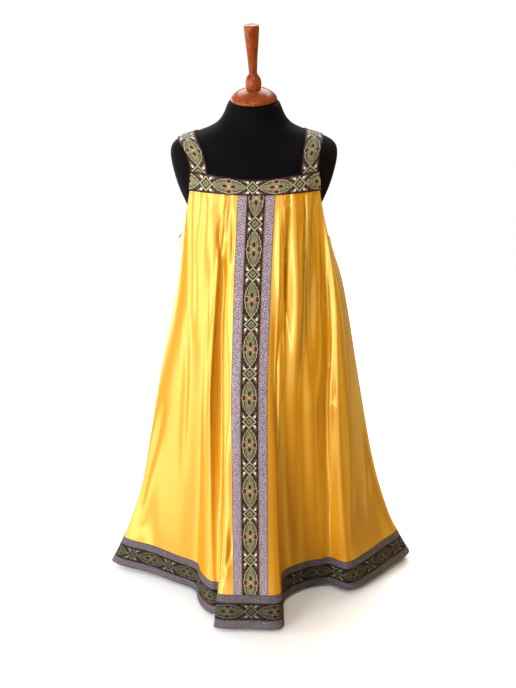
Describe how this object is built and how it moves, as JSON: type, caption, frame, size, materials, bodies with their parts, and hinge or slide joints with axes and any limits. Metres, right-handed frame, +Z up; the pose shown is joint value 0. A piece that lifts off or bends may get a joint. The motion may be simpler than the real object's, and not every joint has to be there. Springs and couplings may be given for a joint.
{
  "type": "sarafan dress on a child's dress form",
  "caption": "Girl's sarafan of yellow satin with woven braid at chest, straps, centre front and hem, worn by a limbless child's dress form with a turned wooden finial.",
  "frame": {"origin": "centre of the stand base's flat underside, on the pole's axis", "axes": "+Z up along the pole, -Y to the front of the dress, +X to the right as seen from the front"},
  "size_m": [0.6518, 0.5082, 1.1288],
  "materials": {
    "satin": "bright yellow satin",
    "braid": "woven jacquard braid, olive and cream on dark maroon",
    "edging": "woven lilac-grey edging braid",
    "form_cover": "black jersey cover",
    "wood": "glossy red-brown lacquer",
    "steel": "dark lacquer",
    "base": "dark lacquer"
  },
  "bodies": {
    "root": {"skirt_front": "satin", "skirt_back": "satin", "chest_band": "braid", "back_band": "braid", "strap_left": "braid", "strap_right": "braid", "placket_braid": "braid", "placket_edging_right": "edging", "placket_edging_left": "edging", "hem_braid_front": "braid", "hem_braid_back": "braid", "hem_edging_lower_front": "edging", "hem_edging_lower_back": "edging", "hem_edging_upper_front": "edging", "hem_edging_upper_back": "edging", "form_torso": "form_cover", "neck_cap": "wood", "finial": "wood", "stand_pole": "steel", "stand_base": "base"}
  },
  "joints": []
}
